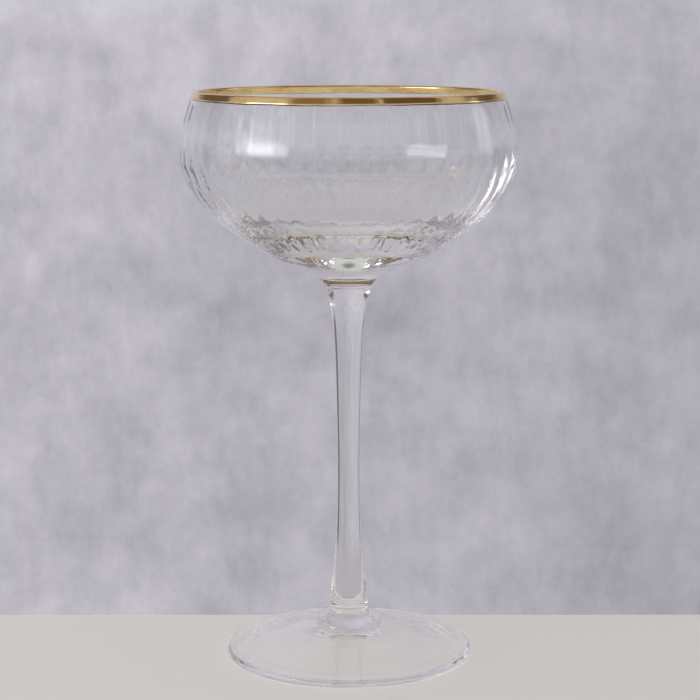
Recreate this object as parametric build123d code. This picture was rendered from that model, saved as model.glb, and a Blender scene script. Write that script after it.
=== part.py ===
from build123d import *
import math
import os

# A stemmed coupe glass with an optic-ribbed bowl and a gilded rim.
# It stands on the plane z = 0 with its axis on z. All sizes are in millimetres.

# Driving dimensions: the whole glass
overall_height = 175.0
rim_radius = 47.0                 # outside of the gilding, where the bowl closes in at the lip
widest_radius = 51.1
widest_height = 156.0
closing_radius = 50.0             # on the wall as it closes in towards the lip
closing_height = 165.0
shoulder_radius = 48.3            # on the wall as it turns under the bowl
shoulder_height = 146.0

# Bowl glass
lip_wall = 1.2                    # thickness of the wall at the lip
widest_wall = 1.5
shoulder_wall = 1.7
lip_lean = math.radians(22)       # how far the wall leans in at the lip
bowl_base_height = 118.3          # plane where the bowl is fused to the neck wafer
bowl_base_radius = 8.8
floor_height = 128.0              # where the slightly conical floor would come to a point
floor_slope = math.radians(8)
floor_tip_radius = 3.0            # radius over which the point of the cone is rounded off
floor_radius = 20.0               # where the cone ends and the side begins

# Optic ribs pressed into the inside of the bowl, between the floor and the lip
rib_count = 48
rib_depth = 0.08
rib_points = 4                    # points that describe one rib of a section
rib_sections = 11
rib_fade = 0.12                   # share of the ribbed stretch over which the ribs fade at each end
ribs_start = 0.04                 # shares of the length of the inner side
ribs_end = 0.96

# Gilding fired over the lip
gold_band = 2.6                   # height of the band below the crown of the lip, along the wall
gold_thickness = 0.1

# Neck wafer and stem
stem_top_height = 116.6
stem_top_radius = 7.55
wafer_flare_out = 0.45            # from the stem's top to where the tangents of the wafer's side meet
wafer_flare_up = 0.7
stem_waist_radius = 3.4
stem_waist_height = 58.0
stem_foot_radius = 7.75           # flared end that sits on the collar
stem_foot_height = 12.0
foot_flare_radius = 6.15          # where the flared end runs out into the shaft
foot_flare_height = 14.2
foot_flare_bend_radius = 6.4      # where the tangents of the flared end meet
foot_flare_bend_height = 12.5

# Collar and foot
collar_radius = 10.4
collar_widest_height = 9.0
collar_base_radius = 9.7
collar_base_height = 7.9
collar_lower_bend_height = 8.2    # where the tangents of the side meet, below and above the widest line
collar_upper_bend_height = 11.2
foot_radius = 38.2
foot_edge_thickness = 2.7
rest_radius = 34.6                # middle of the ring that the glass stands on
rest_width = 1.6
foot_hollow_height = 6.0          # how far the middle of the underside is raised
foot_hollow_reach = 8.0           # where the level middle and the straight slope of the underside would meet
rest_shoulder_radius = 31.3       # where the underside turns down to the ring
rest_shoulder_height = 0.7
rest_bend_radius = 33.0           # where the tangents of the turn down to the ring meet
rest_bend_height = 0.55
foot_slope_radius = 22.0          # where the tangents of the top's two ends meet
foot_slope_height = 4.4


def at(radius, height):
    """A point of an outline that will be turned about the z axis."""
    return Vector(radius, 0, height)


def turn(edges):
    """Revolves a closed outline about the z axis."""
    return revolve(make_face(edges), Axis.Z)


def chain(*points):
    """Straight edges from each point to the next."""
    return [Line(start, end) for start, end in zip(points, points[1:])]


def curve(points, start=None, finish=None):
    """A smooth curve through the points, leaving and arriving in the given directions if any."""
    if start is None:
        return Spline(points)
    return Spline(points, tangents=[start, finish], tangent_scalars=[1, 1])


def lip_point(across, along):
    """A point near the lip: across is measured outwards from the middle of the wall,
    along runs up the leaning wall from the centre of the rounded crown."""
    crown_radius = lip_wall / 2 + gold_thickness
    centre = at(rim_radius - crown_radius, overall_height - crown_radius)
    outwards = at(math.cos(lip_lean), math.sin(lip_lean))
    upwards = at(-math.sin(lip_lean), math.cos(lip_lean))
    return centre + outwards * across + upwards * along


def lip_path(half_wall):
    """The outline over the lip at one distance from the middle of the wall:
    up the outside, round the crown and down the inside of the gilded band."""
    band_end = -(gold_band - half_wall)
    return [
        Line(lip_point(half_wall, band_end), lip_point(half_wall, 0)),
        ThreePointArc(lip_point(half_wall, 0), lip_point(0, half_wall), lip_point(-half_wall, 0)),
        Line(lip_point(-half_wall, 0), lip_point(-half_wall, band_end)),
    ]


def bowl_outside():
    """The outside of the bowl, from the neck wafer up to the gilded band."""
    points = [
        at(bowl_base_radius, bowl_base_height),
        at(14.6, 121.4),
        at(24.2, 125.5),
        at(33.4, 131.0),
        at(42.3, 138.2),
        at(shoulder_radius, shoulder_height),
        at(widest_radius, widest_height),
        at(closing_radius, closing_height),
        lip_path(lip_wall / 2)[0] @ 0,
    ]
    leave_neck = at(1, 0.8)
    meet_lip = at(-math.sin(lip_lean), math.cos(lip_lean))
    return curve(points, leave_neck, meet_lip)


def floor_point(radius):
    """A point on the cone that the floor of the bowl follows."""
    return at(radius, floor_height + radius * math.tan(floor_slope))


def bowl_floor():
    """The floor inside the bowl: a shallow cone, rounded off in the middle."""
    tip_corner = floor_point(floor_tip_radius / 2)
    tip_edge = floor_point(floor_tip_radius)
    return [
        Bezier(at(0, tip_corner.Z), tip_corner, tip_edge),
        Line(tip_edge, floor_point(floor_radius)),
    ]


def bowl_side():
    """The inside of the bowl without its ribs, from the edge of the floor up to the gilded band."""
    points = [
        floor_point(floor_radius),
        at(28.0, 133.4),
        at(35.0, 136.8),
        at(41.2, 141.0),
        at(shoulder_radius - shoulder_wall, shoulder_height + shoulder_wall),
        at(widest_radius - widest_wall, widest_height),
        at(closing_radius - widest_wall, closing_height),
        lip_path(lip_wall / 2)[2] @ 1,
    ]
    along_floor = at(math.cos(floor_slope), math.sin(floor_slope))
    meet_lip = at(-math.sin(lip_lean), math.cos(lip_lean))
    return curve(points, along_floor, meet_lip)


def rib_section(radius, height, depth):
    """A level slice through the cavity: a circle pushed in by the ribs."""
    count = rib_count * rib_points
    points = []
    for index in range(count):
        angle = 2 * math.pi * index / count
        reach = radius - depth * (1 + math.cos(rib_count * angle)) / 2
        points.append(Vector(reach * math.cos(angle), reach * math.sin(angle), height))
    return Face(Wire(Edge.make_spline(points, periodic=True)))


def bowl_cavity():
    """The space inside the bowl, in three stacked solids: smooth floor, ribbed side, smooth lip."""
    side = bowl_side()
    sections = []
    for index in range(rib_sections):
        share = index / (rib_sections - 1)
        point = side @ (ribs_start + (ribs_end - ribs_start) * share)
        fade = min(1, share / rib_fade, (1 - share) / rib_fade)
        sections.append(rib_section(point.X, point.Z, rib_depth * fade))

    floor = bowl_floor()
    low = side @ ribs_start
    basin = turn(floor + [side.trim(0, ribs_start)] + chain(low, at(0, low.Z), floor[0] @ 0))
    high = side @ ribs_end
    top = side @ 1
    lip = turn([side.trim(ribs_end, 1)] + chain(top, at(0, top.Z), at(0, high.Z), high))
    return basin + loft(sections) + lip


def make_bowl():
    """Blown bowl: a turned blank with the ribbed cavity taken out of it."""
    lip = lip_path(lip_wall / 2)
    inner_end = lip[2] @ 1
    blank = turn(
        [bowl_outside(), *lip]
        + chain(inner_end, at(0, inner_end.Z), at(0, bowl_base_height), at(bowl_base_radius, bowl_base_height))
    )
    return blank - bowl_cavity()


def make_gold_rim():
    """Gilding over the lip, down both faces of the wall. Its inner face is the glass itself."""
    glass_side = lip_path(lip_wall / 2)
    outer_side = lip_path(lip_wall / 2 + gold_thickness)
    ends = [
        Line(glass_side[0] @ 0, outer_side[0] @ 0),
        Line(glass_side[2] @ 1, outer_side[2] @ 1),
    ]
    return turn(glass_side + outer_side + ends)


def make_neck_wafer():
    """Short tapering disc of glass that fuses the stem to the bowl."""
    side = Bezier(
        at(stem_top_radius, stem_top_height),
        at(stem_top_radius + wafer_flare_out, stem_top_height + wafer_flare_up),
        at(bowl_base_radius, bowl_base_height),
    )
    return turn(
        [side]
        + chain(
            at(bowl_base_radius, bowl_base_height),
            at(0, bowl_base_height),
            at(0, stem_top_height),
            at(stem_top_radius, stem_top_height),
        )
    )


def make_stem():
    """Drawn solid stem: flared at both ends, thinnest a third of the way up."""
    flare_top = at(foot_flare_radius, foot_flare_height)
    flare_bend = at(foot_flare_bend_radius, foot_flare_bend_height)
    flare = Bezier(at(stem_foot_radius, stem_foot_height), flare_bend, flare_top)
    shaft = curve(
        [
            flare_top,
            at(5.3, 22.5),
            at(4.4, 30.6),
            at(3.6, 44.0),
            at(stem_waist_radius, stem_waist_height),
            at(3.7, 80.0),
            at(4.1, 93.5),
            at(4.8, 104.5),
            at(5.8, 111.3),
            at(6.55, 114.3),
            at(stem_top_radius, stem_top_height),
        ]
    )
    return turn(
        [flare, shaft]
        + chain(
            at(stem_top_radius, stem_top_height),
            at(0, stem_top_height),
            at(0, stem_foot_height),
            at(stem_foot_radius, stem_foot_height),
        )
    )


def make_foot_collar():
    """Bead of glass pressed between the stem and the foot."""
    widest = at(collar_radius, collar_widest_height)
    lower_bend = at(collar_radius, collar_lower_bend_height)
    upper_bend = at(collar_radius, collar_upper_bend_height)
    lower_side = Bezier(at(collar_base_radius, collar_base_height), lower_bend, widest)
    upper_side = Bezier(widest, upper_bend, at(stem_foot_radius, stem_foot_height))
    return turn(
        [lower_side, upper_side]
        + chain(
            at(stem_foot_radius, stem_foot_height),
            at(0, stem_foot_height),
            at(0, collar_base_height),
            at(collar_base_radius, collar_base_height),
        )
    )


def make_foot():
    """Round foot: low cone on top, fire-polished edge, hollow underside, resting on a narrow ring."""
    rest_inner = rest_radius - rest_width / 2
    rest_outer = rest_radius + rest_width / 2
    edge_middle = foot_edge_thickness / 2
    top_outer = at(foot_radius - edge_middle, foot_edge_thickness)
    edge = at(foot_radius, edge_middle)
    rest_shoulder = at(rest_shoulder_radius, rest_shoulder_height)
    underside = Bezier(at(0, foot_hollow_height), at(foot_hollow_reach, foot_hollow_height), rest_shoulder)
    rest_bend = at(rest_bend_radius, rest_bend_height)
    turn_down = Bezier(rest_shoulder, rest_bend, at(rest_inner, 0))
    edge_below = Bezier(at(rest_outer, 0), at(foot_radius, 0), edge)
    edge_above = Bezier(edge, at(foot_radius, foot_edge_thickness), top_outer)
    top = Bezier(
        top_outer,
        at(foot_slope_radius, foot_slope_height),
        at(collar_base_radius, collar_base_height),
    )
    rest = Line(at(rest_inner, 0), at(rest_outer, 0))
    return turn(
        [underside, turn_down, rest, edge_below, edge_above, top]
        + chain(
            at(collar_base_radius, collar_base_height),
            at(0, collar_base_height),
            at(0, foot_hollow_height),
        )
    )


makers = {
    "bowl": make_bowl,
    "gold_rim": make_gold_rim,
    "neck_wafer": make_neck_wafer,
    "stem": make_stem,
    "foot_collar": make_foot_collar,
    "foot": make_foot,
}

os.makedirs("parts", exist_ok=True)
for name, make in makers.items():
    export_step(make(), f"parts/{name}.step")

brimful = bowl_cavity().volume / 1000
print(f"brimful capacity about {brimful:.0f} ml")
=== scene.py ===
import math
import random

import bpy
import numpy as np
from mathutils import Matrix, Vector


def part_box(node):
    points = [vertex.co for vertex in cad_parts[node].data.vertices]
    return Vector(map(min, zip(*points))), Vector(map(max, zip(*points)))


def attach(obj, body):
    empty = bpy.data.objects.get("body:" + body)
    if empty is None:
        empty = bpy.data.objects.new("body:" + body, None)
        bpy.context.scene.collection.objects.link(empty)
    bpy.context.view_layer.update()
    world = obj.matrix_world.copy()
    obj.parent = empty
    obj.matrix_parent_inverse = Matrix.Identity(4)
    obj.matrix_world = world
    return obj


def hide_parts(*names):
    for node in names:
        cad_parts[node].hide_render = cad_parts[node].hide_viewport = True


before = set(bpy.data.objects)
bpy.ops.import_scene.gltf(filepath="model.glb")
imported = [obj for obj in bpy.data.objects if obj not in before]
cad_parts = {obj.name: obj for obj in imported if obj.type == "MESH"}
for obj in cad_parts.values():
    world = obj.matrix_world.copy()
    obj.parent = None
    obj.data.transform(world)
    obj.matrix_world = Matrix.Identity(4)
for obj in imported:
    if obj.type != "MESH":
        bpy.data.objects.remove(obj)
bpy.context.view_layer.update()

MM = 0.001

# Places that the CAD gives
bowl_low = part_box("bowl")[0]
gold_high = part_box("gold_rim")[1]
stem_low, stem_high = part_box("stem")
wafer_low, wafer_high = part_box("neck_wafer")
collar_low, collar_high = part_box("foot_collar")
foot_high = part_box("foot")[1]

# Shapes in millimetres that the CAD boxes don't give
LIP_WALL = 1.2
LIP_LEAN = math.radians(22)
GOLD_THICKNESS = 0.1
GOLD_BITE = 0.03                 # how far the inside of the gilding sits in the glass, so no gap shows
GOLD_BAND = 2.6
RIBS = 48
RIB_DEPTH = 0.08
RIBS_START = 1                   # how far outside the floor's edge the ribs begin
RIBS_GROW = 7                    # radius over which they reach their depth
RIBS_END = 3                     # how far below the top they have gone, and the height over which they go
FLOOR_HEIGHT = 128.0             # where the floor's cone would come to a point
FLOOR_SLOPE = math.radians(8)
FLOOR_TIP = 3.0                  # radius over which the point of the cone is rounded off
FLOOR_RADIUS = 20.0              # where the cone ends and the side begins
STEM_TOP_RADIUS = 7.55
STEM_FOOT_RADIUS = 7.75
COLLAR_RADIUS = 10.4
COLLAR_WIDEST = 9.0
COLLAR_BASE_RADIUS = 9.7
COLLAR_LOWER_BEND = 8.2          # heights where the tangents of the collar's side meet
COLLAR_UPPER_BEND = 11.2
COLLAR_SHRINK = 0.1              # keeps the uneven collar within the round one
HOLLOW_HEIGHT = 6.0
HOLLOW_REACH = 8.0               # where the level middle and the slope of the underside would meet
REST_INNER, REST_OUTER = 33.8, 35.4
REST_SHOULDER = (31.3, 0.7)      # where the underside turns down to the ring that the glass stands on
FOOT_EDGE = 2.7

# Where the tangents of a curve's two ends meet, as radius and height
WAFER_BEND = (8.0, 117.3)
FLARE_BEND = (6.4, 12.5)
REST_BEND = (33.0, 0.55)
FOOT_SLOPE_BEND = (22.0, 4.4)

# Steps round the axis of each kind of mesh
STEPS_PER_RIB = 8
GILDING_STEPS = 480
FOOT_STEPS = 256
ROUND_STEPS = 128

BASE_HEIGHT = bowl_low.z / MM
NECK_RADIUS = 8.8
TOP = gold_high.z / MM
RIM_RADIUS = 47.0


# ---------------------------------------------------------------- outlines

def smooth(points, count, start=None, finish=None):
    """Points along a smooth curve through the given ones, as a cubic spline over the chord length.
    start and finish are directions of the curve at its ends; without them it ends straight."""
    knots = np.array(points, float)
    chords = np.hypot(*np.diff(knots, axis=0).T)
    where = np.concatenate([[0.0], np.cumsum(chords)])
    n = len(knots)
    matrix = np.zeros((n, n))
    wanted = np.zeros((n, 2))
    for i in range(1, n - 1):
        matrix[i, i - 1 : i + 2] = 1 / chords[i - 1], 2 / chords[i - 1] + 2 / chords[i], 1 / chords[i]
        wanted[i] = 3 * (
            (knots[i] - knots[i - 1]) / chords[i - 1] ** 2 + (knots[i + 1] - knots[i]) / chords[i] ** 2
        )
    for row, inner, way, chord, step in (
        (0, 1, start, chords[0], knots[1] - knots[0]),
        (n - 1, n - 2, finish, chords[-1], knots[-1] - knots[-2]),
    ):
        if way is None:
            matrix[row, row], matrix[row, inner] = 2, 1
            wanted[row] = 3 * step / chord
        else:
            matrix[row, row] = 1
            wanted[row] = np.array(way, float) / np.hypot(*way)
    slopes = np.linalg.solve(matrix, wanted)
    path = []
    for at in np.linspace(0, where[-1], count):
        i = min(max(np.searchsorted(where, at) - 1, 0), n - 2)
        h, t = chords[i], (at - where[i]) / chords[i]
        path.append(
            knots[i] * (2 * t**3 - 3 * t**2 + 1)
            + knots[i + 1] * (3 * t**2 - 2 * t**3)
            + h * slopes[i] * (t**3 - 2 * t**2 + t)
            + h * slopes[i + 1] * (t**3 - t**2)
        )
    return path


def bend(start, corner, finish, count):
    """Points along a curve that leaves start towards the corner and arrives at finish from it."""
    start, corner, finish = np.array(start), np.array(corner), np.array(finish)
    return [
        start * (1 - t) ** 2 + corner * 2 * t * (1 - t) + finish * t**2 for t in np.linspace(0, 1, count)
    ]


def lip_point(across, along):
    """A point near the lip, across the leaning wall from its middle and along it from the crown's centre."""
    crown = LIP_WALL / 2 + GOLD_THICKNESS
    lean, rise = math.sin(LIP_LEAN), math.cos(LIP_LEAN)
    return np.array(
        [RIM_RADIUS - crown + across * rise - along * lean, TOP - crown + across * lean + along * rise]
    )


def lip_path(half_wall, count, band=GOLD_BAND):
    """Over the lip at one distance from the middle of the wall: up, round the crown and down."""
    end = -(band - half_wall)
    up = [lip_point(half_wall, end * (1 - t)) for t in np.linspace(0, 1, 6)]
    turn = [
        lip_point(half_wall * math.cos(a), half_wall * math.sin(a)) for a in np.linspace(0, math.pi, count)
    ]
    down = [lip_point(-half_wall, end * t) for t in np.linspace(0, 1, 6)]
    return up + turn[1:-1] + down


def joined(*paths):
    """One outline from several, without the points where they meet twice."""
    outline = [paths[0][0]]
    for path in paths:
        for point in path:
            if np.hypot(*(np.array(point) - outline[-1])) > 1e-4:
                outline.append(np.array(point))
    return outline


# ---------------------------------------------------------------- meshes

def turned(name, outline, segments, shift=None, slots=None):
    """A closed mesh turned about the z axis from an outline that runs from pole to pole, in millimetres.
    shift(index, angle) gives a small change of radius and height, and slots(index) the material of a ring
    of faces."""
    inner = outline[1:-1]
    vertices = [(0, 0, outline[0][1] * MM)]
    for index, (radius, height) in enumerate(inner, 1):
        for k in range(segments):
            angle = 2 * math.pi * k / segments
            out, up = shift(index, angle) if shift else (0, 0)
            reach = (radius + out) * MM
            vertices.append((reach * math.cos(angle), reach * math.sin(angle), (height + up) * MM))
    vertices.append((0, 0, outline[-1][1] * MM))
    last = len(vertices) - 1
    faces, kinds = [], []
    for k in range(segments):
        nxt = (k + 1) % segments
        faces.append((0, 1 + nxt, 1 + k))
        kinds.append(slots(0) if slots else 0)
        for ring in range(len(inner) - 1):
            a, b = 1 + ring * segments, 1 + (ring + 1) * segments
            faces.append((a + k, a + nxt, b + nxt, b + k))
            kinds.append(slots(ring + 1) if slots else 0)
        end = 1 + (len(inner) - 1) * segments
        faces.append((end + k, end + nxt, last))
        kinds.append(slots(len(inner)) if slots else 0)
    mesh = bpy.data.meshes.new(name)
    mesh.from_pydata(vertices, [], faces)
    mesh.polygons.foreach_set("material_index", kinds)
    mesh.shade_smooth()
    mesh.update()
    piece = bpy.data.objects.new(name, mesh)
    bpy.context.scene.collection.objects.link(piece)
    return piece


def ring_mesh(name, outline_at, segments, slots):
    """A closed ring about the z axis, whose closed outline at an angle is outline_at(angle), in millimetres.
    slots(index) is the material slot of one band of its faces."""
    vertices, faces, kinds = [], [], []
    for k in range(segments):
        angle = 2 * math.pi * k / segments
        outline = outline_at(angle)
        count = len(outline)
        for radius, height in outline:
            vertices.append((radius * MM * math.cos(angle), radius * MM * math.sin(angle), height * MM))
    for k in range(segments):
        a, b = k * count, (k + 1) % segments * count
        for i in range(count):
            j = (i + 1) % count
            faces.append((a + i, b + i, b + j, a + j))
            kinds.append(slots(i))
    mesh = bpy.data.meshes.new(name)
    mesh.from_pydata(vertices, [], faces)
    mesh.polygons.foreach_set("material_index", kinds)
    mesh.shade_smooth()
    piece = bpy.data.objects.new(name, mesh)
    bpy.context.scene.collection.objects.link(piece)
    return piece


# ---------------------------------------------------------------- materials

def new_material(name):
    """A new material, with its node tree and its shader."""
    material = bpy.data.materials.new(name)
    material.use_nodes = True
    tree = material.node_tree
    return material, tree, tree.nodes["Principled BSDF"]


def maths(tree, operation, a, b=None):
    """A math node; a and b are numbers or sockets."""
    node = tree.nodes.new("ShaderNodeMath")
    node.operation = operation
    for slot, value in zip(node.inputs, (a, b)):
        if isinstance(value, (int, float)):
            slot.default_value = value
        elif value is not None:
            tree.links.new(value, slot)
    return node.outputs[0]


def between(tree, value, low, high, at_low=0.0, at_high=1.0):
    """A smooth step of value from at_low, at low and below, to at_high, at high and above."""
    node = tree.nodes.new("ShaderNodeMapRange")
    node.interpolation_type = "SMOOTHSTEP"
    tree.links.new(value, node.inputs["Value"])
    for name, number in (("From Min", low), ("From Max", high), ("To Min", at_low), ("To Max", at_high)):
        node.inputs[name].default_value = number
    return node.outputs["Result"]


def noise(tree, place, scale, detail, roughness=0.5):
    """A cloudy pattern from 0 to 1; scale is about its number of clouds to the metre."""
    node = tree.nodes.new("ShaderNodeTexNoise")
    node.inputs["Scale"].default_value = scale
    node.inputs["Detail"].default_value = detail
    node.inputs["Roughness"].default_value = roughness
    tree.links.new(place, node.inputs["Vector"])
    return node.outputs["Fac"]


def place_on(tree, stretch):
    """Where a point is on the piece, in metres, with each direction stretched for a pattern."""
    node = tree.nodes.new("ShaderNodeMapping")
    node.inputs["Scale"].default_value = stretch
    tree.links.new(tree.nodes.new("ShaderNodeTexCoord").outputs["Object"], node.inputs["Vector"])
    return node.outputs[0]


def bump(tree, shader, pattern, depth):
    """Raises the surface by the pattern, at most depth metres."""
    node = tree.nodes.new("ShaderNodeBump")
    node.inputs["Distance"].default_value = depth
    tree.links.new(pattern, node.inputs["Height"])
    tree.links.new(node.outputs[0], shader.inputs["Normal"])


def ramp(tree, value, *stops):
    """A colour for each value from 0 to 1, from stops of place and colour."""
    node = tree.nodes.new("ShaderNodeValToRGB")
    band = node.color_ramp
    while len(band.elements) < len(stops):
        band.elements.new(1.0)
    for element, (where, colour) in zip(band.elements, stops):
        element.position = where
        element.color = (*colour, 1)
    tree.links.new(value, node.inputs["Fac"])
    return node.outputs["Color"]


GLASS_IOR = 1.52

# Colours between which clear glass varies: thin, then as thick as the foot. The thick ones are partly the
# tint of thick glass and partly painted shade: darker so that the table seen through the foot stands in for
# the shadow that the glass, which casts none, does not give
CLEAR = (0.975, 0.98, 0.98)
CLEAREST = (1, 1, 1)
THICK_TINT_AND_SHADE = (0.955, 0.95, 0.957)
THICK_CLEAREST_AND_SHADE = (0.985, 0.98, 0.985)


def glass(name, stretch, scale, depth, tint=CLEAR, clearest=CLEAREST):
    """Clear glass with the faint ripples of its making: stretch gives their direction, scale their number
    to the metre and depth their height. Its colour and polish vary a very little."""
    material, tree, shader = new_material(name)
    shader.inputs["IOR"].default_value = GLASS_IOR
    shader.inputs["Transmission Weight"].default_value = 1.0
    patches = noise(tree, place_on(tree, (1, 1, 1)), 45, 3)
    tree.links.new(ramp(tree, patches, (0.35, tint), (0.65, clearest)), shader.inputs["Base Color"])
    tree.links.new(between(tree, patches, 0.5, 0.75, 0.0, 0.012), shader.inputs["Roughness"])
    bump(tree, shader, noise(tree, place_on(tree, stretch), scale, 2), depth)
    return material


def amber(name, low, high):
    """The wafer's glass, tinted brown in layers between its lowest and highest face."""
    material, tree, shader = new_material(name)
    shader.inputs["IOR"].default_value = GLASS_IOR
    shader.inputs["Roughness"].default_value = 0.0
    shader.inputs["Transmission Weight"].default_value = 1.0
    split = tree.nodes.new("ShaderNodeSeparateXYZ")
    tree.links.new(place_on(tree, (1, 1, 1)), split.inputs[0])
    level = between(tree, split.outputs["Z"], low, high)
    wander = maths(tree, "MULTIPLY", noise(tree, place_on(tree, (1, 1, 3)), 180, 2), 0.2)
    layers = ramp(
        tree,
        maths(tree, "SUBTRACT", maths(tree, "ADD", level, wander), 0.1),
        (0.00, (0.95, 0.89, 0.81)),
        (0.12, (0.88, 0.80, 0.71)),
        (0.28, (0.56, 0.44, 0.37)),
        (0.48, (0.60, 0.49, 0.42)),
        (0.62, (0.78, 0.70, 0.65)),
        (1.00, (0.70, 0.61, 0.56)),
    )
    tree.links.new(layers, shader.inputs["Base Color"])
    return material


def fused():
    """The face where two pieces of glass are fused: nothing bends or mirrors light there."""
    material, tree, shader = new_material("fused_joint")
    clear = tree.nodes.new("ShaderNodeBsdfTransparent")
    tree.links.new(clear.outputs[0], tree.nodes["Material Output"].inputs["Surface"])
    tree.nodes.remove(shader)
    return material


def gold(name, brown, yellow, pale):
    """Fired gold: bright, thinner and browner in patches, with faint ripples of the brush and the glass."""
    material, tree, shader = new_material(name)
    shader.inputs["Metallic"].default_value = 1.0
    patches = noise(tree, place_on(tree, (1, 1, 2.5)), 130, 5, 0.62)
    colours = ramp(tree, patches, (0.34, brown), (0.46, yellow), (0.70, pale))
    tree.links.new(colours, shader.inputs["Base Color"])
    tree.links.new(between(tree, patches, 0.35, 0.70, 0.16, 0.05), shader.inputs["Roughness"])
    bump(tree, shader, noise(tree, place_on(tree, (1, 1, 0.4)), 520, 3), 0.00003)
    return material


# ---------------------------------------------------------------- the bowl

# Points that the wall passes through, as radius and height
BOWL_OUTSIDE = [
    (14.6, 121.4),
    (24.2, 125.5),
    (33.4, 131.0),
    (42.3, 138.2),
    (48.3, 146.0),
    (51.1, 156.0),
    (50.0, 165.0),
]
BOWL_INSIDE = [
    (28.0, 133.4),
    (35.0, 136.8),
    (41.2, 141.0),
    (46.6, 147.7),
    (49.6, 156.0),
    (48.5, 165.0),
]


def floor_point(radius):
    """A point on the cone that the floor of the bowl follows."""
    return radius, FLOOR_HEIGHT + radius * math.tan(FLOOR_SLOPE)


meet_lip = (-math.sin(LIP_LEAN), math.cos(LIP_LEAN))
lip = lip_path(LIP_WALL / 2, 9)
outside = smooth([(NECK_RADIUS, BASE_HEIGHT)] + BOWL_OUTSIDE + [lip[0]], 108, (1, 0.8), meet_lip)
tip_middle = floor_point(FLOOR_TIP / 2)
tip = bend((0, tip_middle[1]), tip_middle, floor_point(FLOOR_TIP), 10)
cone = [floor_point(radius) for radius in np.linspace(FLOOR_TIP, FLOOR_RADIUS, 14)]
along_cone = (math.cos(FLOOR_SLOPE), math.sin(FLOOR_SLOPE))
side = smooth([cone[-1]] + BOWL_INSIDE + [lip[-1]], 110, along_cone, meet_lip)
inside = joined(tip, cone, side)[::-1]
base = [(0, BASE_HEIGHT), (NECK_RADIUS / 2, BASE_HEIGHT), (NECK_RADIUS, BASE_HEIGHT)]
bowl_outline = joined(base, outside, lip, inside)
inside_start = len(bowl_outline) - len(inside)


def bowl_shift(index, angle):
    """The ribs on the inside of the bowl, pressed in at right angles to the wall."""
    if index < inside_start:
        return 0, 0
    radius, height = bowl_outline[index]
    grown = max(0, (radius - FLOOR_RADIUS - RIBS_START) / RIBS_GROW)
    left = max(0, (TOP - RIBS_END - height) / RIBS_END)
    fade = min(1, grown, left)
    dent = RIB_DEPTH * fade * (1 + math.cos(RIBS * angle)) / 2
    ahead, behind = bowl_outline[index - 1], bowl_outline[min(index + 1, len(bowl_outline) - 1)]
    along = np.array(ahead) - np.array(behind)
    along = along / np.hypot(*along)
    return -along[1] * dent, along[0] * dent


bowl_glass = glass("bowl_glass", stretch=(1, 1, 0.25), scale=300, depth=0.000003)
drawn_glass = glass("drawn_glass", stretch=(1, 1, 0.03), scale=700, depth=0.00002)
# The foot and collar take the darker tint: partly painted shade for the shadow under the foot
foot_glass = glass(
    "foot_glass", stretch=(1, 1, 1), scale=90, depth=0.00003, tint=THICK_TINT_AND_SHADE, clearest=THICK_CLEAREST_AND_SHADE
)
joint = fused()
base_rings = len(base) - 1
bowl = turned(
    "coupe_bowl", bowl_outline, RIBS * STEPS_PER_RIB, bowl_shift, lambda ring: 1 if ring < base_rings else 0
)
bowl.data.materials.append(bowl_glass)
bowl.data.materials.append(joint)


# ---------------------------------------------------------------- the gilding

BRUSH_WAVE = 0.10                # height in millimetres of a wave that goes once round
BRUSH_SHORTFALL = 0.15           # how far above the band's end the brushed edge is, on average
brush = random.Random(7)
BRUSH_WAVES = [
    (turns, brush.uniform(0, 2 * math.pi), BRUSH_WAVE / turns**0.5) for turns in (3, 7, 12, 19, 31, 48)
]


def gilding_outline(angle):
    """The gilding's outline. Its lower edge was brushed by hand, so it rises and falls a little."""
    waves = sum(size * math.sin(turns * angle + start) for turns, start, size in BRUSH_WAVES)
    band = GOLD_BAND - BRUSH_SHORTFALL + waves
    outer = lip_path(LIP_WALL / 2 + GOLD_THICKNESS, 15, band)
    inner = lip_path(LIP_WALL / 2 - GOLD_BITE, 15, band)
    return outer + inner[::-1]


outer_points = len(gilding_outline(0)) // 2
# The outer face takes the fired gold; the inner face, seen through the glass, takes a copy of it with
# painted shade
gilding = ring_mesh(
    "gilded_lip", gilding_outline, GILDING_STEPS, lambda band: 0 if band < outer_points - 1 else 1
)
bright_gold = gold(
    "fired_gold", brown=(0.80, 0.53, 0.24), yellow=(0.92, 0.69, 0.31), pale=(0.97, 0.77, 0.40)
)
# Painted shade: a duller, greyer copy of the fired gold, tuned to how the gilding looks seen through the
# glass; the gold itself is the same
shaded_gold_copy = gold(
    "gold_under_glass_shaded_copy", brown=(0.60, 0.48, 0.36), yellow=(0.72, 0.59, 0.43), pale=(0.82, 0.70, 0.54)
)
gilding.data.materials.append(bright_gold)
gilding.data.materials.append(shaded_gold_copy)


# ---------------------------------------------------------------- the wafer, stem, collar and foot

def ends(path):
    """Puts the fused joint on the flat faces at both ends of a turned outline, and glass between them."""
    return lambda ring: 1 if ring in (0, len(path) - 2) else 0


amber_glass = amber("amber_glass", wafer_low.z, wafer_high.z)
wafer_path = joined(
    [(0, wafer_low.z / MM), (STEM_TOP_RADIUS, wafer_low.z / MM)],
    bend((STEM_TOP_RADIUS, wafer_low.z / MM), WAFER_BEND, (NECK_RADIUS, BASE_HEIGHT), 12),
    [(0, BASE_HEIGHT)],
)
wafer = turned("neck_wafer_glass", wafer_path, ROUND_STEPS, None, ends(wafer_path))
wafer.data.materials.append(amber_glass)
wafer.data.materials.append(joint)

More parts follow.
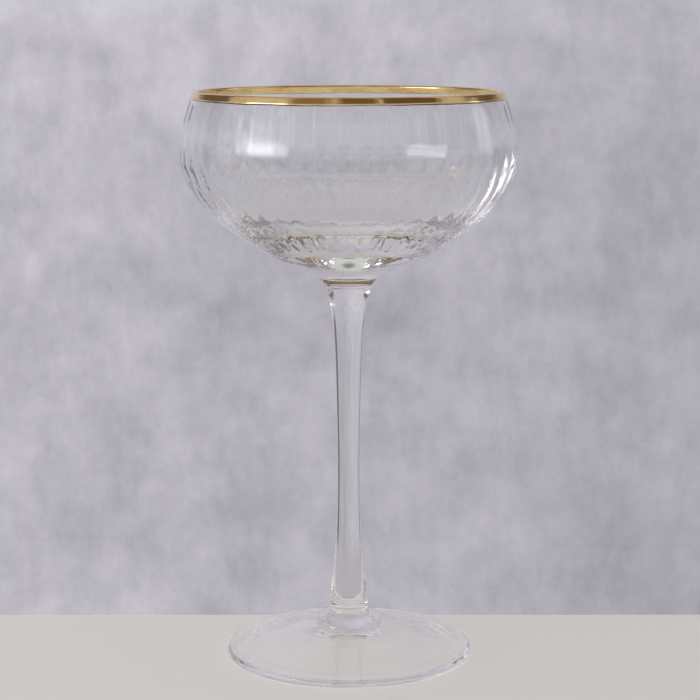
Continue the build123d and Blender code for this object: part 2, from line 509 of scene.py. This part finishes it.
stem_bottom, stem_top = stem_low.z / MM, stem_high.z / MM
STEM_SIDE = [
    (6.15, 14.2),
    (5.3, 22.5),
    (4.4, 30.6),
    (3.6, 44.0),
    (3.4, 58.0),
    (3.7, 80.0),
    (4.1, 93.5),
    (4.8, 104.5),
    (5.8, 111.3),
    (6.55, 114.3),
    (STEM_TOP_RADIUS, stem_top),
]
flare = bend((STEM_FOOT_RADIUS, stem_bottom), FLARE_BEND, STEM_SIDE[0], 10)
shaft = smooth(STEM_SIDE, 120)
stem_path = joined([(0, stem_bottom)], flare, shaft, [(0, stem_top)])
stem = turned("drawn_stem", stem_path, ROUND_STEPS, None, ends(stem_path))
stem.data.materials.append(drawn_glass)
stem.data.materials.append(joint)

collar_bottom, collar_top = collar_low.z / MM, collar_high.z / MM
collar_path = joined(
    [(0, collar_bottom)],
    bend(
        (COLLAR_BASE_RADIUS, collar_bottom),
        (COLLAR_RADIUS, COLLAR_LOWER_BEND),
        (COLLAR_RADIUS, COLLAR_WIDEST),
        10,
    ),
    bend(
        (COLLAR_RADIUS, COLLAR_WIDEST),
        (COLLAR_RADIUS, COLLAR_UPPER_BEND),
        (STEM_FOOT_RADIUS, collar_top),
        16,
    ),
    [(0, collar_top)],
)


def collar_shift(index, angle):
    """The collar was pressed by hand: it is a little oval, and its shoulder rises and dips."""
    radius, height = collar_path[index]
    out = min(1, max(0, (radius - STEM_FOOT_RADIUS) / 2))
    high = (height - collar_bottom) / (collar_top - collar_bottom)
    wide = 0.12 * math.cos(2 * angle + 0.7) + 0.09 * math.cos(5 * angle + 2.1) + 0.05 * math.cos(9 * angle)
    tall = 0.25 * math.cos(3 * angle + 1.0) + 0.12 * math.cos(7 * angle)
    return out * (wide - COLLAR_SHRINK), out * high * tall


collar = turned("foot_collar_glass", collar_path, ROUND_STEPS, collar_shift, ends(collar_path))
collar.data.materials.append(foot_glass)
collar.data.materials.append(joint)

foot_radius, foot_top = foot_high.x / MM, foot_high.z / MM
foot_shoulder = (foot_radius - FOOT_EDGE / 2, FOOT_EDGE)
foot_path = joined(
    bend((0, HOLLOW_HEIGHT), (HOLLOW_REACH, HOLLOW_HEIGHT), REST_SHOULDER, 50),
    bend(REST_SHOULDER, REST_BEND, (REST_INNER, 0), 12),
    bend((REST_OUTER, 0), (foot_radius, 0), (foot_radius, FOOT_EDGE / 2), 16),
    bend((foot_radius, FOOT_EDGE / 2), (foot_radius, FOOT_EDGE), foot_shoulder, 16),
    bend(foot_shoulder, FOOT_SLOPE_BEND, (COLLAR_BASE_RADIUS, foot_top), 60),
    [(0, foot_top)],
)
foot = turned("foot_disc", foot_path, FOOT_STEPS, None, lambda ring: 1 if ring == len(foot_path) - 2 else 0)
foot.data.materials.append(foot_glass)
foot.data.materials.append(joint)

for piece, node, slot in (
    (bowl, "bowl", "bowl_glass"),
    (gilding, "gold_rim", "gilding"),
    (wafer, "neck_wafer", "stem_glass"),
    (stem, "stem", "stem_glass"),
    (collar, "foot_collar", "stem_glass"),
    (foot, "foot", "foot_glass"),
):
    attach(piece, "root")
    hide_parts(node)


# ---------------------------------------------------------------- the stage

TABLE_COLOUR = (0.745, 0.75, 0.735, 1)


def stage_table():
    """A plain pale table, whose back edge is just behind the ring that the glass stands on. Its top is just
    below the foot."""
    edge, thick = 0.0373, 0.018
    left, right, front = -0.9, 0.9, -1.2
    top = -0.0001
    corners = [(left, front), (right, front), (right, edge), (left, edge)]
    mesh = bpy.data.meshes.new("table")
    vertices = [(a, b, top) for a, b in corners] + [(a, b, top - thick) for a, b in corners]
    faces = [(0, 1, 2, 3), (7, 6, 5, 4), (0, 4, 5, 1), (1, 5, 6, 2), (2, 6, 7, 3), (3, 7, 4, 0)]
    mesh.from_pydata(vertices, [], faces)
    table = bpy.data.objects.new("table", mesh)
    bpy.context.scene.collection.objects.link(table)
    material, _, shader = new_material("table")
    shader.inputs["Base Color"].default_value = TABLE_COLOUR
    shader.inputs["Roughness"].default_value = 0.6
    table.data.materials.append(material)


DOME_RADIUS = 3.0
DOME_CENTRE = 0.1
DEGREE = math.radians(1)

# Colours of the dome
CANVAS = (0.490, 0.472, 0.530)
CEILING = (0.46, 0.42, 0.37)
LOWER_WALL = (0.43, 0.405, 0.445)
PALE_FLOOR = (0.60, 0.605, 0.57)
FLOOR_UNDERFOOT = (0.16, 0.165, 0.15)

# Heights in degrees over which the dome goes from one to the next
CEILING_STARTS = (34, 44)
LOWER_WALL_STARTS = (-20, -26)
PALE_FLOOR_STARTS = (-36, -40)
UNDERFOOT_STARTS = (-57, -61)

# Dark cloths at both sides: from and to around the table, from and to above level, softness of the
# edges, all in degrees, and colour
SIDE_CLOTHS = (
    (100, 142, 12, 40, 5, (0.13, 0.105, 0.10)),
    (-142, -100, 12, 40, 5, (0.13, 0.105, 0.10)),
    (112, 134, -24, 3, 3, (0.10, 0.075, 0.06)),
    (-122, -104, -24, 6, 3, (0.20, 0.19, 0.20)),
)

# Dark cloths over the front of the studio, which the gilding mirrors: from and to around the table
# from the front, to the right, softness of the ends, in degrees, and colour
VALANCE_HEIGHTS = (30, 68)
VALANCES = (
    (-48, -15, 7, (0.22, 0.16, 0.12)),
    (-8, 24, 2, (0.15, 0.10, 0.07)),
    (28, 76, 2, (0.12, 0.08, 0.06)),
    (-128, -112, 3, (0.20, 0.15, 0.11)),
)

# Soft lights: middle and half width around the table from the front, to the right, then middle and
# half height above level, softness of the edges, all in degrees, and colour
SOFTBOXES = (
    (-61, 15, 10, 6, 5, (6.0, 6.0, 6.1)),
    (104, 6, 12, 10, 5, (1.5, 1.5, 1.5)),
)


def blend(tree, amount, below, above):
    """One surface shader going over to another by amount."""
    node = tree.nodes.new("ShaderNodeMixShader")
    for slot, value in zip(node.inputs, (amount, below, above)):
        tree.links.new(value, slot)
    return node.outputs[0]


def glow(tree, colour, strength=1.0):
    """A surface that gives light by itself; strength is a number or a socket."""
    node = tree.nodes.new("ShaderNodeEmission")
    node.inputs["Color"].default_value = (*colour, 1)
    if isinstance(strength, (int, float)):
        node.inputs["Strength"].default_value = strength
    else:
        tree.links.new(strength, node.inputs["Strength"])
    return node.outputs[0]


def window(tree, value, low, high, soft):
    """1 between low and high, 0 outside, with soft edges."""
    return maths(
        tree,
        "MULTIPLY",
        between(tree, value, low - soft, low + soft),
        between(tree, value, high - soft, high + soft, 1.0, 0.0),
    )


def area(tree, around, height, left, right, low, high, soft):
    """1 in a rectangle of the studio's wall, given in degrees round the table and above level."""
    return maths(
        tree,
        "MULTIPLY",
        window(tree, around, left * DEGREE, right * DEGREE, soft * DEGREE),
        window(tree, height, low * DEGREE, high * DEGREE, soft * DEGREE),
    )


def mottled(tree, place, across, up):
    """How bright the canvas is: cloudy, brushed, brighter on the left and darker low down."""
    stretch = tree.nodes.new("ShaderNodeMapping")
    stretch.inputs["Scale"].default_value = (1.6, 1.0, 0.7)
    tree.links.new(place, stretch.inputs["Vector"])
    clouds = noise(tree, place, 2.2, 3)
    blotches = noise(tree, place, 8.0, 7, 0.66)
    strokes = noise(tree, stretch.outputs[0], 24.0, 5, 0.6)
    level = 1.02
    for pattern, strength in ((clouds, 0.30), (blotches, 0.80), (strokes, 0.26)):
        wander = maths(tree, "SUBTRACT", pattern, 0.5)
        level = maths(tree, "ADD", level, maths(tree, "MULTIPLY", wander, strength))
    level = maths(tree, "MULTIPLY", level, between(tree, across, -0.22, 0.24, 1.12, 0.925))
    return maths(tree, "MULTIPLY", level, between(tree, up, -0.15, 0.12, 0.87, 1.04))


def stage_dome():
    """The studio round the table: a softly mottled canvas, a pale floor far below, a dim ceiling, the dark
    cloths that give clear glass its edges, and the soft lights. It is painted in directions from the table,
    so it stays where it is when the camera moves."""
    bpy.ops.mesh.primitive_uv_sphere_add(
        segments=96, ring_count=48, radius=DOME_RADIUS, location=(0, 0, DOME_CENTRE)
    )
    dome = bpy.context.object
    dome.name = "backdrop"
    dome.data.shade_smooth()
    material, tree, shader = new_material("backdrop")
    tree.nodes.remove(shader)
    place = tree.nodes.new("ShaderNodeTexCoord").outputs["Object"]
    split = tree.nodes.new("ShaderNodeSeparateXYZ")
    tree.links.new(place, split.inputs[0])
    across, back, up = (maths(tree, "DIVIDE", value, DOME_RADIUS) for value in split.outputs)
    height = maths(tree, "ARCSINE", up)
    around = maths(tree, "ARCTAN2", across, maths(tree, "MULTIPLY", back, -1))

    def over(light, starts, colour):
        """The dome's light, going over to a colour between two heights."""
        first, last = starts
        return blend(tree, between(tree, height, first * DEGREE, last * DEGREE), light, glow(tree, colour))

    light = glow(tree, CANVAS, mottled(tree, place, across, up))
    for *cloth, colour in SIDE_CLOTHS:
        light = blend(tree, area(tree, around, height, *cloth), light, glow(tree, colour))
    light = over(light, CEILING_STARTS, CEILING)
    for first, last, soft, colour in VALANCES:
        valance = area(tree, around, height, first, last, *VALANCE_HEIGHTS, soft)
        light = blend(tree, valance, light, glow(tree, colour))
    light = over(light, LOWER_WALL_STARTS, LOWER_WALL)
    light = over(light, PALE_FLOOR_STARTS, PALE_FLOOR)
    light = over(light, UNDERFOOT_STARTS, FLOOR_UNDERFOOT)
    for middle, half_width, level, half_height, soft, colour in SOFTBOXES:
        left, right = middle - half_width, middle + half_width
        low, high = level - half_height, level + half_height
        box = area(tree, around, height, left, right, low, high, soft)
        light = blend(tree, box, light, glow(tree, colour))
    tree.links.new(light, tree.nodes["Material Output"].inputs["Surface"])
    dome.data.materials.append(material)


AIM = Vector((0, 0, 0.12))       # the neck of the glass, which the lamp points at


def area_light(name, size, distance, azimuth, height, power):
    """A square lamp that points at the glass, from a place given round the table and above it."""
    lamp = bpy.data.lights.new(name, "AREA")
    lamp.shape = "RECTANGLE"
    lamp.size = size
    lamp.size_y = size
    lamp.energy = power
    holder = bpy.data.objects.new(name, lamp)
    bpy.context.scene.collection.objects.link(holder)
    angle = math.radians(azimuth)
    place = Vector((distance * math.sin(angle), -distance * math.cos(angle), height))
    holder.location = place
    holder.rotation_euler = (AIM - place).to_track_quat("-Z", "Y").to_euler()
    holder.visible_camera = False
    return holder


stage_table()
stage_dome()
overhead = area_light("overhead", size=1.6, distance=0.5, azimuth=-45, height=2.0, power=19)
overhead.visible_glossy = False
overhead.visible_transmission = False
# Clear glass would cast an opaque shadow, so only the gilding casts one
for piece in (bowl, wafer, stem, collar, foot):
    piece.visible_shadow = False

CAMERA_PLACE = (0.00045, -0.6102, 0.1992)
CAMERA_TILT = 9.615              # degrees below level

camera = bpy.data.cameras.new("camera")
camera.lens = 103.5
camera.sensor_width = 36
eye = bpy.data.objects.new("camera", camera)
bpy.context.scene.collection.objects.link(eye)
eye.location = CAMERA_PLACE
eye.rotation_euler = (math.radians(90 - CAMERA_TILT), 0, 0)
bpy.context.scene.camera = eye
bpy.context.scene.view_settings.view_transform = "Standard"

# Light crosses many faces of glass before it gets out
GLASS_BOUNCES = 48
cycles = bpy.context.scene.cycles
cycles.max_bounces = GLASS_BOUNCES
cycles.transmission_bounces = GLASS_BOUNCES
cycles.glossy_bounces = GLASS_BOUNCES
cycles.transparent_max_bounces = 16
cycles.blur_glossy = 0
cycles.sample_clamp_indirect = 0
